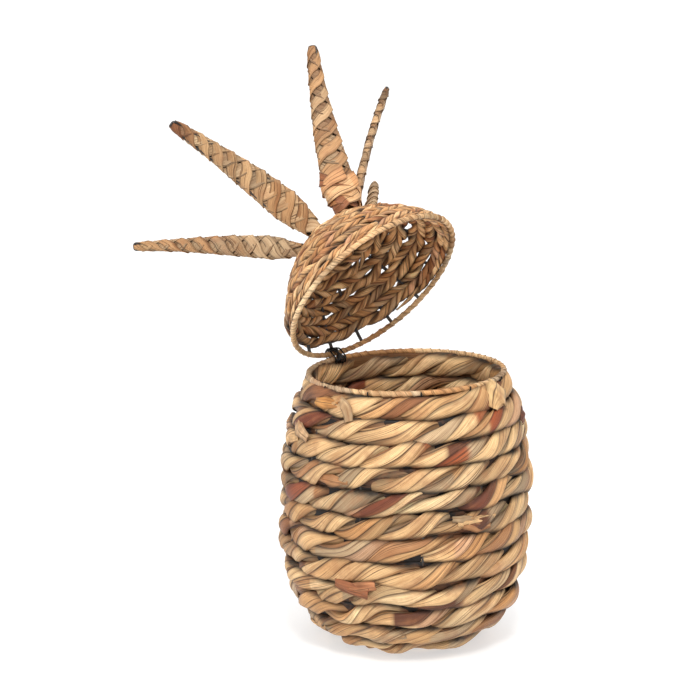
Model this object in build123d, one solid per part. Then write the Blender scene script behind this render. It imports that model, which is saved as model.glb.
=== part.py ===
from build123d import *
import os
from math import acos, atan2, cos, degrees, radians, sin

# A pineapple-shaped storage basket: rows of twisted plant-fibre rope woven round a wire frame,
# with a domed lid that is lashed to the rim and carries a crown of five wire leaves.
# Millimetres, +Z up, origin at the middle of the face that it stands on.

# Wires
RIM_WIRE_R = 2.0
RIB_WIRE_R = 1.75
LEAF_WIRE_R = 1.5
TIE_WIRE_R = 0.8
WRAP_T = 1.4                 # the strip of leaf wound round a rim wire

# Basket wall: the middle line of the weave, from the middle of the base up to the rim
BASE_Z = 7.2
BASE_FLAT_R = 44.4
CORNER_R = 66.3
BELLY_ARC_R = 182.0
BELLY_LEAN = 19.0            # degrees that the belly arc turns below the straight stretch
STRAIGHT_H = 66.0
SHOULDER_LEAN = 25.0         # degrees that the shoulder turns inwards
NECK_R = 30.0
RIM_Z = 273.0
RIM_TILT = 2.2               # degrees: the hand-made rim sits lowest at the hinge

# Rows of the basket
BASE_ROWS = 2
WALL_ROWS = 12               # the last of them is the narrow top row
TOP_ROW_W = 20.0
RIM_GAP = 2.8                # slit between the top row and the rim's wrapping
ROW_HALF_T = 7.6
TOP_ROW_HALF_T = 6.4
ROW_GAP = 1.2
LEVEL_ROWS = 6               # over these rows the weave turns from level to the rim's tilt
HUB_R = 21.5
HUB_FILLET = 5.0
RING_R = 14.0                # wire ring inside the hub, where the ribs meet
RIBS = 12
RIB_START = 8.0              # degrees from +X

# Lid, about its own axis, its rim wire in the plane z = 0
LID_ARC_R = 143.9
LID_ARC_Z = -58.1
LID_ROWS = 9
LID_ROW_START = 8.5          # along the dome, from the rim wire to the first row
LID_ROW_PITCH = 9.85
LID_ROW_HALF_T = 4.0
LID_ROW_GAP = 0.6
LID_ROW_TILT = 2.3           # degrees: the first row stands off the rim at the hinge side
LID_RIBS = 16
CROWN_R = 26.0
CROWN_WRAP_T = 1.2
KNOT_R = 20.0
KNOT_H = 9.0
KNOT_FILLET = 3.0

# Leaves: direction round the lid's axis, lean from that axis at the root and at the tip, how
# far the hairpin is twisted about its own length, and its width against the widths below
LEAVES = [(225, 43, 52, 60, 0.75), (291, 32, 59, 12, 1.0), (24, 21, 34, -60, 1.0),
          (67, 42, 51, 0, 0.85), (107, 69, 46, 0, 1.0)]
LEAF_TWIST_END = 0.2         # share of the length over which the twist happens
LEAF_L = 184.0
LEAF_ROOT_R = 28.0
LEAF_ROOT_H = 4.5            # above the middle of the crown's ring
LEAF_FOOT = 6.0              # half the distance between the two wire feet
LEAF_FOOT_LIFT = 1.6         # from the crown's ring wire up to the ends of the feet
LEAF_TIP_BEND = 3.0
LEAF_EDGE = 2.8              # from the wrap's edge to the middle of the wire inside it
LEAF_WIDEST, LEAF_WIDEST_W = 0.2, 32.0   # where the legs stand widest apart
LEAF_MID, LEAF_MID_W = 0.6, 22.0         # where the legs turn to the tip, and the width there
LEG_BEND = 25.0
TIP_BEND_R = 2.2
LEAF_SECTIONS = [(0.03, 19.0, 9.0), (0.11, 27.0, 9.5), (0.2, 32.0, 9.0), (0.45, 27.0, 8.5), (0.72, 18.0, 8.0),
                 (0.97, 12.0, 7.5)]      # share of the length, width, thickness

# Hinge: the lid hangs on two wire loops, which turn on the basket's rim
HINGE_AZ = 135.5
OPEN_ANGLE = 52.0            # how far the lid stands open, as modelled
REST_GAP = 0.3               # between the two rims when the lid is shut
TIE_CLEAR = 0.5
TIE_OFFSET = 7.0

os.makedirs("parts", exist_ok=True)

LEAN = radians(BELLY_LEAN)
TURN = radians(SHOULDER_LEAN)
BELLY_R = BASE_FLAT_R + CORNER_R * cos(LEAN) + BELLY_ARC_R * (1 - cos(LEAN))
BELLY_Z = BASE_Z + CORNER_R * (1 - sin(LEAN)) + BELLY_ARC_R * sin(LEAN)
SHOULDER_Z = BELLY_Z + STRAIGHT_H
ARC_X = BELLY_R - BELLY_ARC_R
NECK_X = ARC_X + (BELLY_ARC_R + NECK_R) * cos(TURN)
NECK_Z = SHOULDER_Z + (BELLY_ARC_R + NECK_R) * sin(TURN)
RIM_R = NECK_X - NECK_R
WRAP_R = RIM_WIRE_R + WRAP_T
RIM_STACK = 2 * WRAP_R + REST_GAP
LID_ARC_X = RIM_R - (LID_ARC_R ** 2 - LID_ARC_Z ** 2) ** 0.5
CROWN_H = LID_ARC_Z + (LID_ARC_R ** 2 - (CROWN_R - LID_ARC_X) ** 2) ** 0.5
HINGE_OUT = Vector(cos(radians(HINGE_AZ)), sin(radians(HINGE_AZ)), 0)
HINGE_AXIS = Vector(-HINGE_OUT.Y, HINGE_OUT.X, 0)


def save(shape, name):
    export_step(shape, "parts/" + name + ".step")


def leaned(shape, height, angle):
    """Lean a shape towards the hinge, about a level line through the axis at this height."""
    line = Axis((0, 0, height), HINGE_AXIS)
    return shape.rotate(line, angle)


def wall_line(inner_r, top_z):
    """The weave's middle line, drawn flat: X is the radius and Y the height."""
    return Wire([
        Line((inner_r, BASE_Z), (BASE_FLAT_R, BASE_Z)).edge(),
        CenterArc((BASE_FLAT_R, BASE_Z + CORNER_R), CORNER_R, -90, 90 - BELLY_LEAN).edge(),
        CenterArc((ARC_X, BELLY_Z), BELLY_ARC_R, -BELLY_LEAN, BELLY_LEAN).edge(),
        Line((BELLY_R, BELLY_Z), (BELLY_R, SHOULDER_Z)).edge(),
        CenterArc((ARC_X, SHOULDER_Z), BELLY_ARC_R, 0, SHOULDER_LEAN).edge(),
        CenterArc((NECK_X, NECK_Z), NECK_R, 180 + SHOULDER_LEAN, -SHOULDER_LEAN).edge(),
        Line((RIM_R, NECK_Z), (RIM_R, top_z)).edge(),
    ])


def hoop(line, length, half_width, half_thick):
    """One twisted row: an ellipse lying along the line, turned round Z. Also gives its height."""
    middle = line @ (length / line.length)
    along = line % (length / line.length)
    section = Pos(middle.X, middle.Y) * Rot(0, 0, degrees(atan2(along.Y, along.X)))
    section = section * Ellipse(half_width, half_thick)
    return revolve(Plane.XZ * section, Axis.Z), middle.Y


def ring(radius, wire_r, inner_r=0.0):
    """A wire bent to a circle, or with inner_r the tube of strip wound round that wire."""
    section = Circle(wire_r) - Circle(inner_r) if inner_r else Circle(wire_r)
    return revolve(Plane.XZ * (Pos(radius, 0) * section), Axis.Z)


def rod(path, radius):
    """A round wire along a path."""
    return sweep(Plane(path @ 0, z_dir=path % 0) * Circle(radius), path=path)


def body_rim():
    wire = Pos(0, 0, RIM_Z) * ring(RIM_R, RIM_WIRE_R)
    wrap = Pos(0, 0, RIM_Z) * ring(RIM_R, WRAP_R, RIM_WIRE_R)
    save(leaned(wire, RIM_Z, RIM_TILT), "body_rim_wire")
    save(leaned(wrap, RIM_Z, RIM_TILT), "body_rim_wrap")


def body_ribs():
    save(Pos(0, 0, BASE_Z) * ring(RING_R, RIB_WIRE_R), "base_ring_wire")
    for k in range(RIBS):
        azimuth = RIB_START + 360 / RIBS * k
        drop = RIM_R * sin(radians(RIM_TILT)) * cos(radians(azimuth - HINGE_AZ))
        flat = wall_line(RING_R + RIB_WIRE_R, RIM_Z - drop - RIM_WIRE_R)
        rib = rod(Plane.XZ * flat, RIB_WIRE_R)
        save(Rot(0, 0, azimuth) * rib, f"rib_{k + 1:02d}")


def body_rows():
    line = wall_line(0.0, RIM_Z)
    top_edge = line.length - WRAP_R - RIM_GAP
    full_rows = BASE_ROWS + WALL_ROWS
    pitch = (top_edge - TOP_ROW_W) / full_rows
    above_floor = Pos(0, 0, RIM_Z / 2) * Box(4 * BELLY_R, 4 * BELLY_R, RIM_Z)
    for k in range(1, full_rows + 1):
        top = k == full_rows
        length = top_edge - TOP_ROW_W / 2 if top else (k + 0.5) * pitch
        half_w = (TOP_ROW_W if top else pitch) / 2 - ROW_GAP / 2
        row, height = hoop(line, length, half_w, TOP_ROW_HALF_T if top else ROW_HALF_T)
        number = k - BASE_ROWS
        if number < 1:
            save(row & above_floor, f"base_row_{k:02d}")
        else:
            tilt = RIM_TILT * min(1.0, (number - 1) / LEVEL_ROWS)
            save(leaned(row, height, tilt), f"wall_row_{number:02d}")
    hub = Pos(0, 0, BASE_Z) * Cylinder(HUB_R, 2 * BASE_Z)
    save(fillet(hub.edges().group_by(Axis.Z)[-1], HUB_FILLET), "base_hub")


def lid_frame():
    """The lid's own frame as it stands open: origin on the hinge axis, X across to the far side."""
    edge = HINGE_OUT * RIM_R * cos(radians(RIM_TILT))
    origin = edge + Vector(0, 0, RIM_Z - RIM_R * sin(radians(RIM_TILT)))
    rise = radians(RIM_TILT + OPEN_ANGLE)
    across = HINGE_OUT * -cos(rise) + Vector(0, 0, sin(rise))
    upward = HINGE_OUT * sin(rise) + Vector(0, 0, cos(rise))
    return Plane(origin=origin, x_dir=across, z_dir=upward)


def dome_angle(radius):
    """Where the lid's middle arc has this radius, in degrees round the arc's centre."""
    return degrees(acos((radius - LID_ARC_X) / LID_ARC_R))


def lid_rim_and_ribs(place):
    save(place * ring(RIM_R, RIM_WIRE_R), "lid_rim_wire")
    save(place * ring(RIM_R, WRAP_R, RIM_WIRE_R), "lid_rim_wrap")
    start = dome_angle(RIM_R) + degrees(RIM_WIRE_R / LID_ARC_R)
    end = dome_angle(CROWN_R) - degrees(RIB_WIRE_R / LID_ARC_R)
    arc = CenterArc((LID_ARC_X, LID_ARC_Z), LID_ARC_R, start, end - start).edge()
    rib = rod(Plane.XZ * arc, RIB_WIRE_R).solid()
    turned = [place * (Rot(0, 0, 360 / LID_RIBS * k) * rib) for k in range(LID_RIBS)]
    save(Compound(turned), "lid_ribs")


def lid_rows(place):
    start = dome_angle(RIM_R)
    line = CenterArc((LID_ARC_X, LID_ARC_Z), LID_ARC_R, start, 90 - start).edge()
    half_w = (LID_ROW_PITCH - LID_ROW_GAP) / 2
    for k in range(LID_ROWS):
        length = LID_ROW_START + (k + 0.5) * LID_ROW_PITCH
        row, height = hoop(line, length, half_w, LID_ROW_HALF_T)
        tilt = LID_ROW_TILT * (1 - k / LID_ROWS)
        row = row.rotate(Axis((0, 0, height), (0, 1, 0)), tilt)
        save(place * row, f"lid_row_{k + 1:02d}")


def crown(place):
    place = place * Pos(0, 0, CROWN_H)
    save(place * ring(CROWN_R, RIB_WIRE_R), "crown_ring_wire")
    save(place * ring(CROWN_R, RIB_WIRE_R + CROWN_WRAP_T, RIB_WIRE_R), "crown_wrap")
    knot = Cylinder(KNOT_R, KNOT_H)
    save(place * fillet(knot.edges().filter_by(GeomType.CIRCLE), KNOT_FILLET), "crown_knot")


def leaf_frame(lean, share):
    """A frame across the leaf: Y is its width, Z its length, X its thickness."""
    root, tip = radians(lean[0]), radians(lean[1])
    twist = lean[2] * min(1.0, share / LEAF_TWIST_END)
    angle = root + (tip - root) * share
    bend_r = LEAF_L / (tip - root)
    out = LEAF_ROOT_R + bend_r * (cos(root) - cos(angle))
    high = CROWN_H + LEAF_ROOT_H + bend_r * (sin(angle) - sin(root))
    level = Plane(origin=(out, 0, high), x_dir=(cos(angle), 0, -sin(angle)),
                  z_dir=(sin(angle), 0, cos(angle)))
    return level * Rot(0, 0, twist)


def leaf_wire(lean):
    """A hairpin: two feet on the crown's ring, two legs inside the wrap and a narrow tip."""
    def leg(side):
        foot = Vector((CROWN_R ** 2 - LEAF_FOOT ** 2) ** 0.5, side * LEAF_FOOT,
                      CROWN_H + RIB_WIRE_R + LEAF_FOOT_LIFT)
        points = [foot]
        for share, width in ((LEAF_WIDEST, LEAF_WIDEST_W), (LEAF_MID, LEAF_MID_W)):
            edge = Pos(0, side * (lean[3] * width / 2 - LEAF_EDGE))
            points.append((leaf_frame(lean, share) * edge).position)
        points.append((leaf_frame(lean, 1.0) * Pos(0, side * LEAF_TIP_BEND)).position)
        return points
    points = leg(1) + leg(-1)[::-1]
    radii = [LEG_BEND, LEG_BEND, TIP_BEND_R, TIP_BEND_R, LEG_BEND, LEG_BEND]
    return rod(FilletPolyline(*points, radius=radii), LEAF_WIRE_R)


def leaf_wrap(lean):
    """The strip wound round the hairpin: a flat tapering body of oval sections."""
    sections = [leaf_frame(lean, share) * Ellipse(thick / 2, lean[3] * width / 2)
                for share, width, thick in LEAF_SECTIONS]
    return loft(Sketch() + sections)


def leaves(place):
    for number, (azimuth, *lean) in enumerate(LEAVES, 1):
        turned = place * Rot(0, 0, azimuth)
        save(turned * leaf_wire(lean), f"leaf_{number}_wire")
        save(turned * leaf_wrap(lean), f"leaf_{number}_wrap")


def hinge_ties(frame):
    """Two loops of lashing wire, each round both rims beside the hinge's middle."""
    loop_r = WRAP_R + TIE_CLEAR + TIE_WIRE_R
    outline = Rot(0, 0, 90) * SlotCenterToCenter(RIM_STACK, 2 * loop_r)
    path = Plane.XZ * (Pos(0, RIM_STACK / 2) * outline).wire()
    loop = rod(path, TIE_WIRE_R).solid()
    for name, side in (("hinge_tie_left", -1), ("hinge_tie_right", 1)):
        save(frame * (Pos(0, side * TIE_OFFSET, 0) * loop), name)


body_rim()
body_ribs()
body_rows()
hinge = lid_frame()
lid = hinge * Pos(RIM_R, 0, RIM_STACK)
lid_rim_and_ribs(lid)
lid_rows(lid)
crown(lid)
leaves(lid)
hinge_ties(hinge)
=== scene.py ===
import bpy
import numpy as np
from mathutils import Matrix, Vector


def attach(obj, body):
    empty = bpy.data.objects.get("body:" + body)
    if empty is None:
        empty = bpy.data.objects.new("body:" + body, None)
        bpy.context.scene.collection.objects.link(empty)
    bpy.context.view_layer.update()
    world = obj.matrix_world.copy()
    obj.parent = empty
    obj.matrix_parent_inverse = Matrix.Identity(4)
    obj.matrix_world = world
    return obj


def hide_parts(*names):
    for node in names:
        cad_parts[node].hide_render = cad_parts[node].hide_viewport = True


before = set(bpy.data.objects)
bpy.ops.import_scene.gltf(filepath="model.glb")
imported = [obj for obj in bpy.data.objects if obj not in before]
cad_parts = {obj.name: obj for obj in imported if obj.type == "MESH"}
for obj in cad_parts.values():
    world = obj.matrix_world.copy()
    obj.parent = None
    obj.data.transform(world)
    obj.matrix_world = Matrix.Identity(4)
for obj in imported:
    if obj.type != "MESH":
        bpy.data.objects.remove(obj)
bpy.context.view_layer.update()        # the CAD bodies, nodes and joints, in metres

# %% [markdown]
# A pineapple basket, woven by hand
#
# The real object is a lidded storage basket. Dried leaves of water hyacinth are twisted into a
# thick two-strand rope, and the rope runs round a frame of dark steel wire, row above row. The
# lid is woven the same way in a finer rope, and its crown is five wire hairpins wound with strip.
# The CAD frame holds every row as a plain oval hoop, so this lesson's work is to turn each hoop
# into real rope, each rim and leaf into wound strip, and to leave the wires where they are.

TURN = 2 * np.pi

# %% [markdown]
# The basket's measures
#
# Everything soft has to lie on the frame, so the weave's middle line comes first: from the
# middle of the base, round the corner, up the belly and in to the rim. The same few arcs that
# drew the CAD are worked out here as one long array of points, and a row is then found by its
# length along that line.

# %% Measures of the weave, in metres
MM = 0.001
BASE_Z, BASE_FLAT_R, CORNER_R = 7.2 * MM, 44.4 * MM, 66.3 * MM
BELLY_ARC_R, BELLY_LEAN = 182.0 * MM, np.radians(19.0)
STRAIGHT_H, SHOULDER_LEAN = 66.0 * MM, np.radians(25.0)
NECK_R, RIM_Z, RIM_TILT = 30.0 * MM, 273.0 * MM, np.radians(2.2)
WRAP_R, RIM_GAP, TOP_ROW_W = 3.4 * MM, 2.8 * MM, 20.0 * MM
BASE_ROWS, WALL_ROWS, LEVEL_ROWS = 2, 12, 6
RIBS, RIB_START = 12, np.radians(8.0)
HINGE_AZ, OPEN_ANGLE = np.radians(135.5), np.radians(52.0)
RIM_STACK = 7.1 * MM

BELLY_R = BASE_FLAT_R + CORNER_R * np.cos(BELLY_LEAN) + BELLY_ARC_R * (1 - np.cos(BELLY_LEAN))
BELLY_Z = BASE_Z + CORNER_R * (1 - np.sin(BELLY_LEAN)) + BELLY_ARC_R * np.sin(BELLY_LEAN)
SHOULDER_Z = BELLY_Z + STRAIGHT_H
NECK_X = BELLY_R - BELLY_ARC_R + (BELLY_ARC_R + NECK_R) * np.cos(SHOULDER_LEAN)
NECK_Z = SHOULDER_Z + (BELLY_ARC_R + NECK_R) * np.sin(SHOULDER_LEAN)
RIM_R = NECK_X - NECK_R
HINGE_OUT = np.array([np.cos(HINGE_AZ), np.sin(HINGE_AZ), 0.0])
HINGE_AXIS = np.array([-HINGE_OUT[1], HINGE_OUT[0], 0.0])


def arc(cx, cz, radius, start, end, count=200):
    """Points of an arc: centre plus radius times the cosine and sine of an even run of angles."""
    angle = np.linspace(start, end, count)
    return np.stack([cx + radius * np.cos(angle), cz + radius * np.sin(angle)], 1)


def measured(points):
    """Adds up the steps between points: gives the length at each point, and the points."""
    step = np.linalg.norm(np.diff(points, axis=0), axis=1)
    keep = np.r_[True, step > 1e-9]
    return np.r_[0, np.cumsum(step)][keep], points[keep]


arc_x = BELLY_R - BELLY_ARC_R
WALL = measured(np.concatenate([
    [[0.0, BASE_Z]],
    arc(BASE_FLAT_R, BASE_Z + CORNER_R, CORNER_R, -np.pi / 2, -BELLY_LEAN),
    arc(arc_x, BELLY_Z, BELLY_ARC_R, -BELLY_LEAN, 0),
    arc(arc_x, SHOULDER_Z, BELLY_ARC_R, 0, SHOULDER_LEAN),
    arc(NECK_X, NECK_Z, NECK_R, np.pi + SHOULDER_LEAN, np.pi),
    [[RIM_R, RIM_Z]]]))
TOP_EDGE = WALL[0][-1] - WRAP_R - RIM_GAP     # where the top row ends, below the rim
PITCH = (TOP_EDGE - TOP_ROW_W) / (BASE_ROWS + WALL_ROWS)
print(f"wall line {WALL[0][-1]:.4f} m, widest radius {BELLY_R:.4f} m, row pitch {PITCH:.4f} m")


# %% [markdown]
# Placing a row
#
# A row is a circle that sits at one length along the wall line. Two directions travel with it:
# "across", which climbs the wall, and "outward", which points away from the weave. The upper
# rows lean a little towards the hinge, as the hand-made rim does. One helper makes the flat
# circle with both directions, and another leans all three into place.

# %% Rows on the basket
def turned(vectors, axis, angle):
    """Rodrigues' formula: v cos + (axis x v) sin + axis (axis . v)(1 - cos)."""
    dot = (vectors @ axis)[..., None]
    return (vectors * np.cos(angle) + np.cross(axis, vectors) * np.sin(angle)
            + axis * dot * (1 - np.cos(angle)))


def at_length(line, length):
    """Radius, height and unit direction of a measured line at some length along it."""
    run, points = line
    near = np.clip(length, run[0] + 1e-5, run[-1] - 1e-5)
    here = np.array([np.interp(length, run, points[:, k]) for k in (0, 1)])
    ahead = np.array([np.interp(near + 1e-5, run, points[:, k]) for k in (0, 1)])
    behind = np.array([np.interp(near - 1e-5, run, points[:, k]) for k in (0, 1)])
    along = ahead - behind
    return here, along / np.linalg.norm(along, axis=0)


def hoop(here, along, theta):
    """A circle of that radius and height, with its across and outward directions."""
    c, s, o = np.cos(theta), np.sin(theta), np.ones_like(theta)
    points = np.stack([here[0] * c, here[0] * s, here[1] * o], 1)
    across = np.stack([along[0] * c, along[0] * s, along[1] * o], 1)
    outward = np.stack([along[1] * c, along[1] * s, -along[0] * o], 1)
    return points, across, outward


def leaned(track, height, axis, angle):
    """Leans a track of points and directions about a level line through the axis."""
    pivot = np.array([0, 0, height])
    points, across, outward = track
    return (turned(points - pivot, axis, angle) + pivot,
            turned(across, axis, angle), turned(outward, axis, angle))


def wall_tilt(length):
    """The weave's lean at a length along the wall: none low down, the rim's at the top."""
    return RIM_TILT * np.clip((length / PITCH - BASE_ROWS - 1.5) / LEVEL_ROWS, 0, 1)


def wall_track(length, theta):
    """The track of a wall row: its middle line, and the across and outward directions."""
    here, along = at_length(WALL, length)
    return leaned(hoop(here, along, theta), here[1], HINGE_AXIS, wall_tilt(length))


low_side, high_side = wall_track(TOP_EDGE, np.array([HINGE_AZ, HINGE_AZ + np.pi]))[0][:, 2]
print(f"top edge at the hinge {low_side:.4f} m up, and across from it {high_side:.4f} m")

# %% [markdown]
# Where the lid stands
#
# The lid's parts are easiest to draw in the lid's own frame, with its rim level and its axis
# upright. Three directions and an origin then carry them to where the lid stands open: turned
# back about the hinge, on top of the basket's rim. The lid is drawn open because the frame's
# rest pose is the open one.

# %% The lid's frame
rise = RIM_TILT + OPEN_ANGLE                  # how far the lid's rim stands up from level
LID_X = -HINGE_OUT * np.cos(rise) + np.array([0, 0, np.sin(rise)])
LID_Z = HINGE_OUT * np.sin(rise) + np.array([0, 0, np.cos(rise)])
LID_Y = np.cross(LID_Z, LID_X)
HINGE = HINGE_OUT * RIM_R * np.cos(RIM_TILT) + np.array([0, 0, RIM_Z - RIM_R * np.sin(RIM_TILT)])
LID_AXES = np.stack([LID_X, LID_Y, LID_Z])
LID_ORIGIN = HINGE + LID_X * RIM_R + LID_Z * RIM_STACK


def on_lid(track):
    """Takes points and directions from the lid's own frame to where the lid stands open."""
    points, *directions = track
    return (points @ LID_AXES + LID_ORIGIN, *[d @ LID_AXES for d in directions])


print("lid rim centre", np.round(LID_ORIGIN, 4), "lid axis", np.round(LID_Z, 3))

# %% [markdown]
# Camera
#
# The view is straight from the front and about seventeen degrees above level, from far enough
# away that the basket hardly narrows. A long lens keeps the rows nearly parallel. It is made
# first, because every later choice is judged through it.

# %% Camera
camera_data = bpy.data.cameras.new("camera")
camera = bpy.data.objects.new("camera", camera_data)
bpy.context.scene.collection.objects.link(camera)
VIEW_AZ, VIEW_EL, VIEW_DIST, VIEW_LENS = np.radians(-0.42), np.radians(16.63), 2.797, 142.9
VIEW_PIVOT, VIEW_AIM = np.array([0, 0, 0.150]), np.array([-0.0563, 0.040, 0.2852])
back = np.array([np.sin(VIEW_AZ) * np.cos(VIEW_EL), -np.cos(VIEW_AZ) * np.cos(VIEW_EL),
                 np.sin(VIEW_EL)])
camera.location = VIEW_PIVOT + VIEW_DIST * back
aim = VIEW_AIM - np.array(camera.location)
camera.rotation_euler = Vector(aim).to_track_quat("-Z", "Y").to_euler()
camera_data.lens, camera_data.sensor_width = VIEW_LENS, 36.0
camera_data.clip_end = 50.0
bpy.context.scene.camera = camera
print("camera at", [round(v, 3) for v in camera.location])

# %% [markdown]
# Floor, sky and lamps
#
# The basket stands on a plain white sheet under soft light. The sky is a white dome that grows
# brighter overhead, like a big soft box, so the tops of the strands are lit and the gaps below
# them stay dark. A lamp in front and a weaker one at the left shape the sides. Colours are
# shown as they are, without a film curve, so that white paper comes out white.

# %% Floor, sky and lamps
scene = bpy.context.scene
scene.view_settings.view_transform = "Standard"
FLOOR_HALF, FLOOR_NEAR, FLOOR_FAR, FLOOR_Z = 9, -6, 14, -0.0006
floor_mesh = bpy.data.meshes.new("floor")
floor_mesh.from_pydata([(-FLOOR_HALF, FLOOR_NEAR, FLOOR_Z), (FLOOR_HALF, FLOOR_NEAR, FLOOR_Z),
                        (FLOOR_HALF, FLOOR_FAR, FLOOR_Z), (-FLOOR_HALF, FLOOR_FAR, FLOOR_Z)],
                       [], [(0, 1, 2, 3)])
floor = bpy.data.objects.new("floor", floor_mesh)
scene.collection.objects.link(floor)

world = bpy.data.worlds.new("sky")
scene.world = world
world.use_nodes = True
HORIZON, OVERHEAD = 0.26, 1.62                # the dome's strength at its foot and its top
sky = world.node_tree.nodes["Background"]
look = world.node_tree.nodes.new("ShaderNodeTexCoord")
split = world.node_tree.nodes.new("ShaderNodeSeparateXYZ")
dome = world.node_tree.nodes.new("ShaderNodeMapRange")
dome.inputs["To Min"].default_value, dome.inputs["To Max"].default_value = HORIZON, OVERHEAD
world.node_tree.links.new(look.outputs["Generated"], split.inputs[0])
world.node_tree.links.new(split.outputs["Z"], dome.inputs["Value"])
world.node_tree.links.new(dome.outputs["Result"], sky.inputs["Strength"])
sky.inputs["Color"].default_value = (1.0, 1.0, 1.0, 1.0)


def lamp(name, place, target, size, power, colour):
    """A square area lamp at a place, facing a target."""
    data = bpy.data.lights.new(name, "AREA")
    data.size, data.energy, data.color = size, power, colour
    obj = bpy.data.objects.new(name, data)
    scene.collection.objects.link(obj)
    obj.location = place
    obj.rotation_euler = (Vector(target) - Vector(place)).to_track_quat("-Z", "Y").to_euler()


lamp("key_lamp", (0.1, -1.7, 2.3), (0, 0, 0.25), 0.6, 44, (1.0, 0.985, 0.96))
lamp("fill_lamp", (-1.7, -1.4, 1.0), (0, 0, 0.2), 1.0, 9, (0.97, 0.985, 1.0))

# %% [markdown]
# Shader maths as Python
#
# A finish is a small sum of noises and masks. Written node by node it would fill pages, so one
# little class wraps an output, and + - * / on it add Math nodes. One method adds any other node:
# its settings first, then the values or links of its sockets.

# %% A finish and its values
class Value:
    """One output of a node in a finish, used in plain Python sums."""

    def __init__(self, finish, socket):
        self.finish, self.socket = finish, socket

    def sum(self, operation, a, b):
        return self.finish.add("ShaderNodeMath", {"operation": operation}, {0: a, 1: b})

    def __add__(self, other):
        return self.sum("ADD", self, other)

    def __sub__(self, other):
        return self.sum("SUBTRACT", self, other)

    def __rsub__(self, other):
        return self.sum("SUBTRACT", other, self)

    def __mul__(self, other):
        return self.sum("MULTIPLY", self, other)

    __radd__, __rmul__ = __add__, __mul__


class Finish:
    """A material, and the one method that adds nodes to it."""

    def __init__(self, name):
        self.material = bpy.data.materials.new(name)
        self.material.use_nodes = True
        self.tree = self.material.node_tree
        self.shader = self.tree.nodes["Principled BSDF"]

    def add(self, kind, settings, sockets, out=0):
        """A new node, its settings (a ramp's colours are "stops") and its sockets."""
        node = self.tree.nodes.new(kind)
        for key, value in settings.items():
            if key == "stops":
                ramp = node.color_ramp
                while len(ramp.elements) < len(value):
                    ramp.elements.new(0.5)
                for element, (place, colour) in zip(ramp.elements, value):
                    element.position, element.color = place, (*colour, 1.0)
            else:
                setattr(node, key, value)
        self.feed(node, sockets)
        return Value(self, node.outputs[out])

    def feed(self, node, sockets):
        for key, value in sockets.items():
            if isinstance(value, Value):
                self.tree.links.new(value.socket, node.inputs[key])
            else:
                node.inputs[key].default_value = value

    def noise(self, vector, scale, detail=2.0, rough=0.5):
        return self.add("ShaderNodeTexNoise", {"noise_dimensions": "3D"},
                        {"Vector": vector, "Scale": scale, "Detail": detail,
                         "Roughness": rough})

    def ramp(self, fac, *stops):
        return self.add("ShaderNodeValToRGB", {"stops": stops}, {"Fac": fac})

    def mix(self, fac, a, b, blend="MIX"):
        """Colour a towards colour b: the colour sockets of a Mix node are 6 and 7."""
        return self.add("ShaderNodeMix", {"data_type": "RGBA", "blend_type": blend},
                        {0: fac, 6: a, 7: b}, out=2)

    def stretched(self, vector, scale):
        return self.add("ShaderNodeMapping", {"vector_type": "POINT"},
                        {"Vector": vector, "Scale": scale})


print("a Value takes + - *, and a Finish adds nodes")

# %% [markdown]
# Dried leaf
#
# Each ply of the rope is a flat, dried leaf: straw to ochre, some greyed, a few stained
# red-brown. Its fibres run along it, so the pattern must follow the strand and not the room.
# Every rope piece carries two things for that: a UV map in metres, along and around the strand,
# and a colour for each leaf. The finish adds streaks, darker fibre lines, stains and a fine
# ribbed bump to them.

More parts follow.
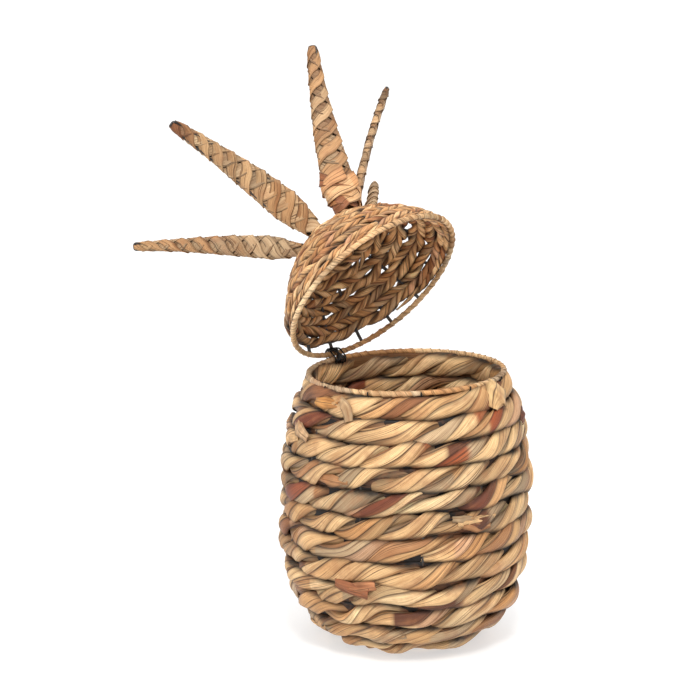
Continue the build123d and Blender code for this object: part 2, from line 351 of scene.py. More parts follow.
# %% The dried-leaf finish
def dried_leaf(name, roughness, streak_width, warm, tint):
    """Leaf colour times long streaks, darkened in fibre lines and stained in patches."""
    finish = Finish(name)
    grain = finish.add("ShaderNodeUVMap", {"uv_map": "grain"}, {})
    place = finish.add("ShaderNodeTexCoord", {}, {}, out=3)
    # The leaf attribute holds each leaf's own colour with painted shade and painted light already
    # in it.
    leaf = finish.add("ShaderNodeAttribute", {"attribute_name": "leaf"}, {})
    streaks = finish.noise(finish.stretched(grain, (22, 1 / streak_width, 1)), 1.0, 3.0, 0.6)
    fibres = finish.noise(finish.stretched(grain, (45, 3 / streak_width, 1)), 1.0, 2.0, 0.5)
    lines = finish.noise(finish.stretched(grain, (9, 0.8 / streak_width, 1)), 1.0, 1.0, 0.4)
    patches = finish.noise(place, 42.0, 3.0, 0.65)
    drifts = finish.noise(finish.stretched(grain, (14, 90, 1)), 1.0, 3.0, 0.6)
    light = finish.ramp(streaks, (0.28, (0.56, 0.48, 0.42)), (0.47, (0.98, 0.96, 0.93)),
                        (0.72, (1.16, 1.17, 1.17)))
    colour = finish.mix(1.0, leaf, light, "MULTIPLY")
    thread = finish.ramp(fibres, (0.34, (0.66, 0.58, 0.50)), (0.50, (1.0, 1.0, 1.0)))
    colour = finish.mix(0.8, colour, thread, "MULTIPLY")
    dried = finish.ramp(drifts, (0.30, (0.60, 0.46, 0.35)), (0.50, (1.0, 0.99, 0.98)),
                        (0.75, (1.06, 1.06, 1.04)))
    colour = finish.mix(1.0, colour, dried, "MULTIPLY")
    stain = finish.ramp(patches * 0.6 + drifts * 0.4, (0.50, (0.0, 0.0, 0.0)),
                        (0.64, (1.0, 1.0, 1.0)))
    colour = finish.mix(stain * warm, colour, (0.34, 0.135, 0.055, 1.0))
    crack = finish.ramp(lines, (0.32, (1.0, 1.0, 1.0)), (0.375, (0.0, 0.0, 0.0)))
    colour = finish.mix(crack * 0.8, colour, (0.075, 0.032, 0.014, 1.0))
    colour = finish.mix(1.0, colour, (*tint, 1.0), "MULTIPLY")
    height = streaks * 0.6 + fibres * 0.4 - crack * 0.7 + drifts * 0.9
    bump = finish.add("ShaderNodeBump", {}, {"Height": height, "Strength": 0.8,
                                             "Distance": 0.0010})
    finish.feed(finish.shader, {"Base Color": colour, "Normal": bump,
                                "Roughness": roughness + 0.25 * streaks,
                                "Specular IOR Level": 0.38})
    return finish.material


ROPE = dried_leaf("dried leaf rope", 0.42, 0.0011, 0.55, (1.0, 0.975, 0.88))
BRAID = dried_leaf("fine dried leaf braid", 0.46, 0.0008, 0.55, (1.05, 0.95, 0.82))
STRIP = dried_leaf("dried leaf strip", 0.40, 0.0010, 0.42, (1.02, 1.01, 0.97))
print("leaf finishes", ROPE.name, BRAID.name, STRIP.name)

# %% [markdown]
# Steel wire
#
# The frame is dark drawn wire with a thin oily scale and a few rusty freckles. It is metal
# where it is bare and dull where it has rusted.

# %% The wire finish
def steel_wire(name, dark, rust):
    """Dark metal, with rust where a fine noise is high."""
    finish = Finish(name)
    place = finish.add("ShaderNodeTexCoord", {}, {}, out=3)
    freckles = finish.noise(place, 420.0, 3.0, 0.6)
    scale = finish.noise(place, 90.0, 2.0, 0.5)
    mask = finish.ramp(freckles, (0.52, (0.0, 0.0, 0.0)), (0.66, (1.0, 1.0, 1.0)))
    shade = finish.ramp(scale, (0.3, (dark, dark * 0.93, dark * 0.9)),
                        (0.7, (dark * 2.2, dark * 2.1, dark * 2.0)))
    colour = finish.mix(mask * rust, shade, (0.12, 0.052, 0.028, 1.0))
    bump = finish.add("ShaderNodeBump", {}, {"Height": freckles, "Strength": 0.3,
                                             "Distance": 0.0003})
    finish.feed(finish.shader, {"Base Color": colour, "Normal": bump,
                                "Metallic": 0.9 - 0.7 * mask,
                                "Roughness": 0.38 + 0.3 * mask})
    return finish.material


FRAME_WIRE = steel_wire("dark frame wire", 0.035, 0.7)
LASHING = steel_wire("black lashing wire", 0.016, 0.25)
print("wire finishes", FRAME_WIRE.name, LASHING.name)

# %% [markdown]
# White paper
#
# The sheet under the basket is matt paper with the faintest cloudiness. It gives off a little
# light of its own, as a sheet lit from below does, so that the shadow on it stays pale.

# %% The paper finish
paper = Finish("white paper")
paper_place = paper.add("ShaderNodeTexCoord", {}, {}, out=3)
paper_tone = paper.ramp(paper.noise(paper_place, 3.0), (0.3, (0.46, 0.46, 0.46)),
                        (0.7, (0.48, 0.48, 0.48)))
paper.feed(paper.shader, {"Base Color": paper_tone, "Roughness": 0.8,
                          "Emission Color": (1.0, 1.0, 1.0, 1.0), "Emission Strength": 0.56})
floor_mesh.materials.append(paper.material)
print("floor finish", paper.material.name)

# %% [markdown]
# Wires that the CAD already drew
#
# The ribs, rims, hairpins and hinge ties have their real shape in the CAD, so they stay as they
# are and only get a finish. The hoops get it too, but the woven pieces below take their place.

# %% Finishes for the CAD nodes
for name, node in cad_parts.items():
    metal = LASHING if name.startswith("hinge_tie") else FRAME_WIRE
    for slot in node.material_slots:
        slot.material = metal
    if not node.material_slots:
        node.data.materials.append(metal)
print("wire finishes on", len(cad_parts), "CAD nodes")


# %% [markdown]
# From grids to a mesh
#
# Every soft piece here is one or more grids of points: one parameter runs along the strand and
# the other goes round it. These helpers join a grid's corners into four-sided faces, close it
# where a strand meets itself and turn the faces outwards. All of it is done on whole arrays.

# %% The faces of a grid
def grid_corners(rows, columns, wrap_rows, wrap_columns):
    """Corner numbers of each cell (its own, the next column's, both next rows'), and its place."""
    i = np.arange(rows if wrap_rows else rows - 1)[:, None]
    j = np.arange(columns if wrap_columns else columns - 1)[None, :]
    a, b = i * columns + j, i * columns + (j + 1) % columns
    c, d = ((i + 1) % rows) * columns + (j + 1) % columns, ((i + 1) % rows) * columns + j
    cells = np.stack([a, b, c, d], -1).reshape(-1, 4)
    places = np.stack(np.broadcast_arrays(i + 0 * j, j + 0 * i), -1).reshape(-1, 2)
    return cells, places


def grid_faces(grid, middle, wraps, along, around):
    """Faces, their UVs and the end caps of one grid, all facing away from its middle line.

    A grid faces outwards when the sum of its faces' normals times their steps away from the
    middle line is above nought; if it isn't, every face is turned round.
    """
    rows, columns = grid.shape[:2]
    cells, places = grid_corners(rows, columns, *wraps)
    p = grid.reshape(-1, 3)[cells]
    normal = np.cross(p[:, 2] - p[:, 0], p[:, 3] - p[:, 1])
    away = p.mean(1) - middle[places[:, 0]]
    corner = places[:, None, :] + np.array([[0, 0], [0, 1], [1, 1], [1, 0]])
    uv = np.stack([along[corner[..., 0]], around[corner[..., 1]]], -1)
    order = -1 if (normal * away).sum() < 0 else 1
    open_tube = wraps[1] and not wraps[0]
    ring = np.arange(columns)
    caps = [ring[::-1][::order], ((rows - 1) * columns + ring)[::order]] if open_tube else []
    return cells[:, ::order], uv[:, ::order], caps


print("faces of a 3 by 4 tube:", len(grid_corners(3, 4, False, True)[0]))

# %% [markdown]
# One piece from many grids
#
# A row of rope is two strands and a core, so a piece joins several grids into one mesh. It
# carries the leaf colours as an attribute, with the painted shade and painted light already in
# them, and the grain as a UV map, and it is told which body it rides on, which CAD nodes it
# stands in for and what it is made of. Thin strips get their thickness from a Solidify modifier,
# which is simpler than drawing both sides.

# %% The weaving helper
def woven(name, body, grids, material, nodes, thickness=0.0):
    """Builds one piece from grids of (points, middle line, wraps, colours, along, around)."""
    points, colours, faces, uvs, caps, first = [], [], [], [], [], 0
    for grid, middle, wraps, colour, along, around in grids:
        cells, uv, ends = grid_faces(grid, middle, wraps, along, around)
        points.append(grid.reshape(-1, 3))
        colours.append(colour.reshape(-1, 3))
        faces.append(cells + first)
        uvs.append(uv.reshape(-1, 2))
        caps += [(end + first).tolist() for end in ends]
        first += len(points[-1])
    mesh = bpy.data.meshes.new(name)
    mesh.from_pydata(np.concatenate(points).tolist(), [], np.concatenate(faces).tolist() + caps)
    layer = mesh.uv_layers.new(name="grain")
    cap_uv = np.zeros((sum(len(cap) for cap in caps), 2))
    layer.data.foreach_set("uv", np.concatenate(uvs + [cap_uv]).ravel().astype(np.float32))
    tint = mesh.color_attributes.new("leaf", "FLOAT_COLOR", "POINT")
    rgb = np.concatenate(colours)
    tint.data.foreach_set("color", np.c_[rgb, np.ones(len(rgb))].ravel().astype(np.float32))
    mesh.polygons.foreach_set("use_smooth", np.ones(len(mesh.polygons), bool))
    mesh.materials.append(material)
    obj = bpy.data.objects.new(name, mesh)
    scene.collection.objects.link(obj)
    if thickness:
        solid = obj.modifiers.new("thickness", "SOLIDIFY")
        solid.thickness, solid.offset = thickness, -1.0
    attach(obj, body)
    if nodes:
        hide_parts(*nodes)
    return obj


print("woven pieces carry a UV map, grain, and a colour attribute, leaf")

# %% [markdown]
# Leaf colours
#
# No two leaves dried alike. A strand is a bundle of plies, and each ply is a chain of leaves,
# twenty centimetres or so long. Every leaf draws its colour from a small set, pale straw more
# often than brown, and its tone drifts along its length.

# %% Colours of the leaves
def linear(*rgb):
    """Display values 0-255 as the linear light that a shader works in."""
    v = np.array(rgb, float) / 255
    return np.where(v <= 0.04045, v / 12.92, ((v + 0.055) / 1.055) ** 2.4)


LEAF_COLOURS = np.array([linear(*rgb) for rgb in (
    (238, 208, 168), (227, 193, 150), (217, 180, 137), (207, 167, 122), (210, 166, 120),
    (198, 150, 102), (192, 167, 138), (172, 149, 122), (208, 168, 138), (176, 130, 92),
    (138, 92, 62), (124, 66, 44))])
LEAF_SHARES = np.array([0.10, 0.18, 0.20, 0.15, 0.07, 0.05, 0.09, 0.05, 0.05, 0.04, 0.012,
                        0.004])


def wavy(rng, t, low, high, closed=True):
    """A smooth random wave: a sum of sines whose heights fall as their counts rise."""
    total = np.zeros_like(t)
    for count in range(low, high + 1):
        turns = count if closed else count + rng.uniform(-0.4, 0.4)
        total = total + rng.normal() * np.sin(TURN * (turns * t + rng.random()))
    return total / np.sqrt(0.5 * (high - low + 1))


def ply_colours(rng, t, plies, leaves_per_ply, drift=0.12, palette=LEAF_COLOURS,
                chances=LEAF_SHARES):
    """A colour for each step of t and each ply: leaves end and begin at random places."""
    table = np.empty((len(t), plies, 3))
    for k in range(plies):
        ends = np.sort(rng.random(leaves_per_ply))
        picks = rng.choice(len(palette), leaves_per_ply, p=chances / chances.sum())
        here = np.searchsorted(ends, t) % leaves_per_ply
        tone = 1 + drift * wavy(rng, t, 3, 9)
        table[:, k] = palette[picks[here]] * tone[:, None]
    return np.clip(table, 0.01, 0.95)


print(len(LEAF_COLOURS), "leaf colours")

# %% [markdown]
# The twisted rope
#
# Two strands wind round each other, and each strand is a bundle of flat plies whose edges stand
# proud. Looked at along the rope, the section is the same everywhere but turned: two ovals side
# by side. So a strand is an oval carried round the row while the whole section turns, squashed
# to the row's width and thickness. The plies come first. The columns of the grid run along
# their edges, which keeps every edge crisp; small ridges along the columns are the leaf's folds.

# %% The plies of a strand
PLY_SHARES = np.array([0.0, 0.05, 0.16, 0.3, 0.44, 0.58, 0.72, 0.84, 0.93, 0.985])


def ply_outline(rng, t, plies, shares, step, fold, closed):
    """The angle of each column round the strand, how far it is lifted, and its ply's number.

    A ply's columns stand at its shares of the angle between two wandering bounds. Each is lifted
    by a step times its share to the power 1.6, plus a fold times the sine of a few turns.
    """
    bounds = np.stack([TURN * (k / plies) + (1.0 / plies) * wavy(rng, t, 2, 9, closed)
                       for k in range(plies)], 1)
    bounds = np.concatenate([bounds, bounds[:, :1] + TURN], 1)
    psi, lift = [], []
    for k in range(plies):
        loose = step * np.clip(0.8 + 0.5 * wavy(rng, t, 3, 12, closed), 0.15, 1.9)[:, None]
        a, b = bounds[:, k:k + 1], bounds[:, k + 1:k + 2]
        psi.append(a + (b - a) * shares)
        edge = shares ** 1.6 * (1 - 0.35 * (shares > 0.97))
        folds = shares * rng.uniform(1.6, 2.6) + 0.3 * wavy(rng, t, 2, 6, closed)[:, None]
        lift.append(loose * edge + fold * np.sin(TURN * folds) * np.sin(np.pi * shares))
    ply = np.repeat(np.arange(plies), len(shares))
    return np.concatenate(psi, 1), np.concatenate(lift, 1), ply


print("columns to a ply", len(PLY_SHARES))

# %% [markdown]
# Tones of a strand
#
# A leaf is painted darker where its edge is tucked under the next one, as painted shade, and its
# margins dry to brown in places. Both follow the plies, so they are worked out with the columns
# and stored as the leaf colour. That is cheaper than finding the edges again in a shader. A few
# stated stains go in too.

# %% The colours of a strand
BROWN = linear(150, 100, 64)    # the tone that a leaf's margins dry to


def strand_colours(rng, t, ply, shares, leaves_per_ply, closed, stains):
    """Leaf colours with their stains, browned margins and painted shade at the tucked edges."""
    plies = ply[-1] + 1
    colours = ply_colours(rng, t, plies, leaves_per_ply)
    for place, span, number, colour in stains:
        gap = np.abs((t - place + 0.5) % 1 - 0.5)
        near = np.clip(5 - 5 * gap / span, 0, 1)[:, None]
        colours[:, number] += (colour - colours[:, number]) * near
    # Painted shade: each ply is made darker at its tucked edge, and a little at its upper edge.
    edge = 1 - 0.90 * np.exp(-(shares / 0.06) ** 2) - 0.20 * (shares > 0.96)
    margin = 0.55 * np.abs(2 * shares - 1) ** 3
    browned = np.clip(0.5 + 0.6 * wavy(rng, t, 4, 16, closed), 0, 1)[:, None]
    browned = np.tile(margin, plies) * browned
    colour = colours[:, ply]
    colour = colour + (BROWN - colour) * browned[..., None]
    return colour * np.tile(edge, plies)[None, :, None]


print("margins dry to", np.round(BROWN, 3).tolist())

# %% [markdown]
# One strand
#
# With the plies known, the strand is one formula on whole arrays. The same x and y that place a
# point also say how deep it lies: far up or down the wall it dives between two rows, and on its
# inner side it presses on its twin. Both are darkened, because hardly any light gets there.

# %% The strand function
TUCKED, DEPTH = 0.90, 0.84      # where a ply's tucked edge lies; a strand's depth to its width


# The argument dark sets how deep the painted shade between rows is, and the last argument sets how
# much painted light the strand's inward side gets.
def strand(rng, track, t, turns, phase, half_w, half_n, plies=3, leaves_per_ply=4,
           shares=PLY_SHARES, step=0.17, fold=0.034, closed=True, stains=(), swing=0.08,
           apart=0.42, dark=0.93, painted_inside_light=0.45):
    """One strand of a two-strand rope along a track.

    In the turning section the strand's oval is centred "apart" from the middle. A point is the
    track's point plus x (cos p across + sin p outward) plus y (cos p outward - sin p across),
    with p the turning angle, and x and y scaled to the row's half width and thickness. Where the
    strand dives between rows or against its twin it is painted darker, as painted shade, and its
    inward side is painted lighter, as painted light.
    """
    points, across, outward = track
    half_w = np.broadcast_to(half_w, t.shape)[:, None, None]
    half_n = np.broadcast_to(half_n, t.shape)[:, None, None]
    angle = TURN * turns * t + phase + 0.30 * wavy(rng, t, 2, 9, closed)
    swell = 1 + swing * wavy(rng, t, 3, 13, closed)
    psi, lift, ply = ply_outline(rng, t, plies, shares, step, fold, closed)
    shape = (TUCKED + lift) * swell[:, None]
    x = apart + (1 - apart) * shape * np.cos(psi)
    y = DEPTH * shape * np.sin(psi)
    c, s = np.cos(angle)[:, None, None], np.sin(angle)[:, None, None]
    wide, thick = across[:, None] * half_w, outward[:, None] * half_n
    grid = points[:, None] + x[..., None] * (c * wide + s * thick) \
        + y[..., None] * (c * thick - s * wide)
    colour = strand_colours(rng, t, ply, shares, leaves_per_ply, closed, stains)
    # Painted light and painted shade: the inward side is made lighter, and the strand is made
    # darker where it dives between rows and where it presses on its twin.
    inward = np.clip(-x * s[..., 0] - y * c[..., 0] - 0.2, 0, 1)
    climb = np.abs(x * c[..., 0] - y * s[..., 0])
    crevice = np.clip((climb - 0.56) / 0.34, 0, 1) ** 1.4 * dark
    inner = np.clip(-np.cos(psi) - 0.05, 0, 1) * 0.75
    colour = colour * ((1 + painted_inside_light * inward) * (1 - crevice) * (1 - inner))[..., None]
    middle = points + apart * (c[:, 0] * wide[:, 0] + s[:, 0] * thick[:, 0])
    length = np.r_[0, np.cumsum(np.linalg.norm(np.diff(points, axis=0), axis=1))]
    length = np.r_[length, length[-1] + length[1]] if closed else length
    around = (np.r_[np.tile(shares, plies) + ply, plies]) * float(half_w.mean()) * 5.6 / plies
    offset = rng.uniform(0, 5)
    return grid, middle, (closed, True), colour, length + offset, around + offset


print("a strand is", DEPTH, "as deep as it is wide")

# %% [markdown]
# The pair, and what is inside
#
# The second strand is the first, half a turn behind. Real rope is packed with crushed leaf, and
# no daylight comes through it. A flat hoop inside each row does that with few faces. Its
# near-black colour is painted shade; under the top row it is a lighter brown.

# %% Two strands and a core
CORE_W, CORE_N = 12.2 * MM, 1.5 * MM
# The core's near-black colour is painted shade for the gaps between rows; the top row's core is a
# lighter brown.
CORE_PAINTED_SHADE, CORE_TOP = np.array([0.006, 0.003, 0.002]), linear(120, 86, 56)


def core(track, tone, columns=14):
    """An oval hoop inside a row: the track's point plus its half width times the cosine across
    and its half depth times the sine outward. It keeps daylight out of the rope's gaps."""
    points, across, outward = [part[::3] for part in track]
    psi = TURN * np.arange(columns) / columns
    grid = points[:, None] + across[:, None] * (CORE_W * np.cos(psi))[:, None] \
        + outward[:, None] * (CORE_N * np.sin(psi))[:, None]
    rows = len(points)
    colour = np.broadcast_to(tone, (rows, columns, 3))
    return grid, points, (True, True), colour, np.arange(rows + 1) * 0.008, \
        np.arange(columns + 1) * 0.002


def two_strands(seed, track, t, turns, half_w, half_n, **more):
    """The pair: the second strand starts half a turn behind the first."""
    rng = np.random.default_rng(seed)
    start = rng.uniform(0, TURN)
    stains = more.pop("stains", ((), ()))
    return [strand(rng, track, t, turns, start + k * np.pi, half_w, half_n,
                   stains=stains[k], **more) for k in (0, 1)]


print("core", CORE_W, "by", CORE_N, "m to each side")

# %% [markdown]
# The basket's rows
#
# Twelve rows climb the wall, and two more lie under the base. Seen from outside, the strands
# rise to the right. The belly's rows make seven turns; a smaller hoop makes fewer, because the
# twist itself stays as tight. A few leaves are stained deep red-brown, as they grew.

# %% Wall rows and base rows
TURN_LENGTH = 0.106          # rope used by one full turn of the twist
ROW_STEP = 0.0027            # from one section of a strand to the next
FLOOR_GAP = 0.0002           # no point of the weave is lower than this
RED, DARK, PLUM = linear(160, 82, 46), linear(104, 62, 42), linear(134, 96, 76)
# For some rows, the stains of each strand: place round the row, span, ply and colour.
STAINS = {
    11: (((0.885, 0.035, 0, RED),), ((0.90, 0.03, 2, RED),)),
    10: (((0.80, 0.035, 0, RED), (0.83, 0.03, 2, DARK)), ((0.80, 0.03, 0, RED),)),
    8: (((0.87, 0.03, 0, DARK),), ((0.885, 0.03, 2, DARK), (0.97, 0.03, 0, DARK))),
    7: (((0.84, 0.02, 2, DARK),), ((0.835, 0.03, 0, DARK),)),
    4: (((0.79, 0.03, 0, DARK),), ((0.80, 0.03, 2, PLUM),)),
    3: (((0.77, 0.03, 0, PLUM),), ((0.76, 0.03, 2, DARK),)),
}


def row_turns(radius, turn_length):
    """Whole turns of the twist round a row, and at least two."""
    return -max(2, round(TURN * radius / turn_length))


def above_floor(grids):
    """Flattens what would reach below the floor, as the rope's own weight does."""
    for grid, *_ in grids:
        grid[..., 2] = np.maximum(grid[..., 2], FLOOR_GAP)


def wall_row(name, number, length, half_w, half_n):
    """One row of rope, swaying and swelling a little, with its hoop of core, painted dark as
    shade.
    """
    radius = at_length(WALL, length)[0][0]
    count = int(TURN * radius / ROW_STEP)
    t = np.arange(count) / count
    points, across, outward = wall_track(length, TURN * t)
    rng = np.random.default_rng(900 + number)
    sway, bulge = 0.0018 * wavy(rng, t, 2, 8), 0.0014 * wavy(rng, t, 3, 11)
    half_w = half_w * (1 + 0.06 * wavy(rng, t, 3, 11))
    inside = core((points, across, outward), CORE_TOP if number == WALL_ROWS else CORE_PAINTED_SHADE)
    points = points + across * sway[:, None] + outward * bulge[:, None]
    grids = two_strands(100 + number, (points, across, outward), t,
                        row_turns(radius, TURN_LENGTH), half_w, half_n,
                        stains=STAINS.get(number, ((), ())))
    grids.append(inside)
    if number < 2:
        above_floor(grids)
    return woven(name + "_rope", "basket", grids, ROPE, [name])


rows = [wall_row(f"wall_row_{number:02d}", number, (number + BASE_ROWS + 0.5) * PITCH,
                 PITCH / 2 + 1.9 * MM, 8.6 * MM) for number in range(1, WALL_ROWS)]
rows.append(wall_row("wall_row_12", WALL_ROWS, TOP_EDGE - TOP_ROW_W / 2 + 2.6 * MM, 13.4 * MM,
                     7.4 * MM))
rows += [wall_row(f"base_row_{number:02d}", number - BASE_ROWS, (number + 0.5) * PITCH,
                  PITCH / 2 + 1.4 * MM, 7.8 * MM) for number in (1, 2)]
print(len(rows), "rows,", sum(len(r.data.polygons) for r in rows), "faces")

# %% [markdown]
# The middle of the base
#
# The weave starts from a small coil under the basket: a knob, and one turn of rope round it.
# It is seen only from below and through the mouth, but it closes the floor.

# %% Base coil
def coil(seed, radii, height, half_w, half_n, place, turn_length):
    """Rings of rope round the axis, one inside the other, all at one height."""
    grids = []
    for k, radius in enumerate(radii):
        count = max(48, int(TURN * radius / 0.002))
        t = np.arange(count) / count
        track = hoop((radius, height), (1.0, 0.0), TURN * t)
        grids += two_strands(seed + k, place(track), t, row_turns(radius, turn_length),
                             half_w, half_n, shares=PLY_SHARES[::2])
    return grids


base = coil(300, (0.0175, 0.0060), BASE_Z, 0.0068, 0.0074, lambda track: track, 0.05)
above_floor(base)
woven("base_coil", "basket", base, ROPE, ["base_hub"])
print("base coil of", len(base), "strands")


# %% [markdown]
# Wound strip
#
# Rims and leaves are wire wound with a flat strip of leaf. One turn of the strip climbs by its
# pitch, and because the strip is wider than that, each turn lies partly on the one before. The
# surface has two parameters, the angle wound and the place across the strip, and the strip's
# trailing edge stands a strip's thickness higher than its leading edge, like shingles.

# %% The wound strip function
SHINGLE = 0.0007                # how far one pass of the strip stands above the next


def along_track(run, track, where):
    """Reads each column of a track at some length along it."""
    return [np.stack([np.interp(where, run, part[:, k]) for k in range(3)], -1)
            for part in track]


def wound_strip(rng, track, half_w, half_n, start, pitch, width, turns, slope=0.0, lift=SHINGLE,
                cross=7, per_turn=28, hand=1, leaves=6, base_lift=0.0, rag=0.07, square=1.0,
                drift=0.10, **tints):
    """A ribbon wound round a track: at angle a and share v across, the length along the track
    is start + pitch a / turn + v width / 2, less slope cos a; the point is the track's point
    + (half width + h) cos a across + (half thickness + h) sin a outward. Cosine and sine are
    raised to the power square, which below one makes the oval boxier."""
    points = track[0]
    run = np.r_[0, np.cumsum(np.linalg.norm(np.diff(points, axis=0), axis=1))]
    angle = np.linspace(0, TURN * turns, int(per_turn * turns) + 1)
    share = angle / angle[-1]
    v = np.linspace(-1, 1, cross)
    ragged = 1 + rag * wavy(rng, share, int(turns), int(turns * 2.2), False)
    where = (start + pitch * angle / TURN - slope * np.cos(angle) * hand)[:, None] \
        + v * (width / 2) * ragged[:, None]
    where = np.clip(where, 0, run[-1])
    p, across, outward = along_track(run, track, where)
    size_w = np.interp(where, run, half_w)
    size_n = np.interp(where, run, half_n)
    h = base_lift + lift * (0.5 - v / 2) + lift * 0.35 * np.abs(v) ** 4 * \
        (1 + 0.8 * wavy(rng, share, int(turns), int(turns * 3), False))[:, None]
    h = h + 0.00012 * np.sin(9 * v + 3 * wavy(rng, share, 3, 9, False)[:, None])
    c, s = [np.sign(f) * np.abs(f) ** square for f in (np.cos(angle), np.sin(angle))]
    c, s = c[:, None], hand * s[:, None]
    grid = p + ((size_w + h) * c)[..., None] * across + ((size_n + h) * s)[..., None] * outward
    middle = cross // 2
    colours = ply_colours(rng, share, 1, leaves, drift, **tints)
    shade = 1 - 0.35 * np.exp(-((v + 1) / 0.14) ** 2) - 0.62 * np.exp(-((v - 1) / 0.2) ** 2)
    colour = colours * shade[None, :, None]
    path = grid[:, middle]
    length = np.r_[0, np.cumsum(np.linalg.norm(np.diff(path, axis=0), axis=1))]
    offset = rng.uniform(0, 5)
    return grid, p[:, middle], (False, False), colour, length + offset, v * width / 2 + offset


print("each pass stands", SHINGLE, "m above the next")

# %% [markdown]
# Both rims
#
# The rim wires of basket and lid are the same hoop in two places, and each is wound all the way
# round. The turns are counted from the strip: about one for each centimetre of rim.

# %% Rim strips
STRIP_THICK = 0.0005
RIM_TURNS = 62


def rim_wrap(name, body, seed, place, node):
    """Strip wound right round a rim wire, a little past its start."""
    rng = np.random.default_rng(seed)
    theta = np.linspace(0, TURN * 1.02, 700)
    track = place(hoop((RIM_R, 0.0), (0.0, 1.0), theta))
    half = np.full(len(theta), WRAP_R - 1.25 * MM)
    grid = wound_strip(rng, track, half, half, 0.004, TURN * RIM_R / RIM_TURNS, 0.0125,
                       RIM_TURNS, per_turn=16, leaves=12, palette=LEAF_COLOURS[:7],
                       chances=LEAF_SHARES[:7])
    woven(name, body, [grid], STRIP, [node], STRIP_THICK)


def body_rim_place(track):
    """Lifts a level track to the basket's rim, and leans it as the rim leans."""
    raised = (track[0] + np.array([0, 0, RIM_Z]), *track[1:])
    return leaned(raised, RIM_Z, HINGE_AXIS, RIM_TILT)


rim_wrap("body_rim_strip", "basket", 401, body_rim_place, "body_rim_wrap")
rim_wrap("lid_rim_strip", "lid", 402, on_lid, "lid_rim_wrap")
print("both rims wound")

# %% [markdown]
# The lid's braid
#
# Nine finer rows cross the dome's wires from the rim to the crown. They are the same two-strand
# rope with thinner leaves and a much tighter twist, so its lumps look like petals from inside.
# Every other row is twisted the other way, which sets the petals in ears, as on wheat. The
# first row stands off the rim at the hinge side.

# %% Lid rows
LID_ARC_R, LID_ARC_Z, LID_ROWS = 143.9 * MM, -58.1 * MM, 9
LID_ROW_START, LID_ROW_PITCH, LID_ROW_TILT = 8.5 * MM, 9.85 * MM, np.radians(2.3)
LID_TURN_LENGTH, LID_ROW_STEP = 0.041, 0.0017
lid_arc_x = RIM_R - np.sqrt(LID_ARC_R ** 2 - LID_ARC_Z ** 2)
dome_start = np.arccos((RIM_R - lid_arc_x) / LID_ARC_R)
DOME = measured(arc(lid_arc_x, LID_ARC_Z, LID_ARC_R, dome_start, np.pi / 2 + 0.2, 600))

lid_faces = 0
for k in range(LID_ROWS):
    here, along = at_length(DOME, LID_ROW_START + (k + 0.5) * LID_ROW_PITCH)
    count = int(TURN * here[0] / LID_ROW_STEP)
    t = np.arange(count) / count
    track = leaned(hoop(here, along, TURN * t), here[1], np.array([0.0, 1.0, 0.0]),
                   LID_ROW_TILT * (1 - k / LID_ROWS))
    hand = 1 if k % 2 else -1
    wobble = 0.0011 * wavy(np.random.default_rng(560 + k), t, 3, 14)[:, None] * track[1]
    track = (track[0] + wobble, *track[1:])
    grids = two_strands(500 + k, on_lid(track), t, -hand * row_turns(here[0], LID_TURN_LENGTH),
                        LID_ROW_PITCH / 2 + 0.9 * MM, 5.4 * MM, plies=2, leaves_per_ply=14,
                        step=0.20, swing=0.11, apart=0.47, dark=0.95)
    piece = woven(f"lid_row_{k + 1:02d}_braid", "lid", grids, BRAID, [f"lid_row_{k + 1:02d}"])
    lid_faces += len(piece.data.polygons)
print("lid rows,", lid_faces, "faces")

# %% [markdown]
# A part row at the lid's rim
#
# Away from the hinge the braid reaches right down to the rim. There one short row lies between
# the rim and the first full row, and it thins out to nothing towards the hinge, where the bare
# wires show.

# %% Part row
SPAN, ENDS = np.radians(128.0), 0.12          # to each side of the far point; tapering share
t = np.linspace(0, 1, 300)
theta = SPAN * (2 * t - 1)
here, along = at_length(DOME, LID_ROW_START - 1.6 * MM)
track = leaned(hoop(here, along, theta), here[1], np.array([0.0, 1.0, 0.0]), LID_ROW_TILT * 0.7)
taper = np.clip(np.minimum(t, 1 - t) / ENDS, 0.12, 1) ** 0.7
part_row = two_strands(590, on_lid(track), t, -int(2 * SPAN * RIM_R / LID_TURN_LENGTH),
                       4.6 * MM * taper, 3.8 * MM * taper, leaves_per_ply=7,
                       shares=PLY_SHARES[[0, 2, 4, 6, 8, 9]], step=0.18, closed=False)
woven("lid_rim_braid", "lid", part_row, BRAID, [])

# %% [markdown]
# The crown
#
# A small wire ring carries the leaves' feet. It is wound with strip, and a knot of coiled braid
# fills it and closes the top of the dome.

# %% Crown ring and knot
CROWN_R, CROWN_WRAP = 26.0 * MM, 2.95 * MM
CROWN_H = LID_ARC_Z + np.sqrt(LID_ARC_R ** 2 - (CROWN_R - lid_arc_x) ** 2)


def crown_place(track):
    """Lifts a level track from the lid's rim to the crown's ring."""
    return on_lid((track[0] + np.array([0, 0, CROWN_H]), *track[1:]))


rng = np.random.default_rng(610)
theta = np.linspace(0, TURN * 1.03, 260)
ring_track = crown_place(hoop((CROWN_R, 0.0), (0.0, 1.0), theta))
half = np.full(len(theta), CROWN_WRAP - 0.7 * MM)
ring_grid = wound_strip(rng, ring_track, half, half, 0.003, TURN * CROWN_R / 17, 0.0125, 17,
                        lift=0.0010, per_turn=18, leaves=7)
woven("crown_ring_strip", "lid", [ring_grid], STRIP, ["crown_wrap"], STRIP_THICK)
knot = coil(620, (0.0152, 0.0055), 0.0, 0.0062, 0.0052, crown_place, 0.04)
woven("crown_knot_coil", "lid", knot, BRAID, ["crown_knot"])
print("crown height above the lid rim", round(CROWN_H, 4))

# %% [markdown]
# The leaves
#
# A leaf is a long wire hairpin, wound from root to tip. The strip crosses from leg to leg on
# the slant, and two strips wound opposite ways give the zigzag of overlapping triangles, with
# thin dark slits between them. First comes the curve of a leaf: an arc that springs from the
# crown's ring and leans outwards, turned a little about its own length.

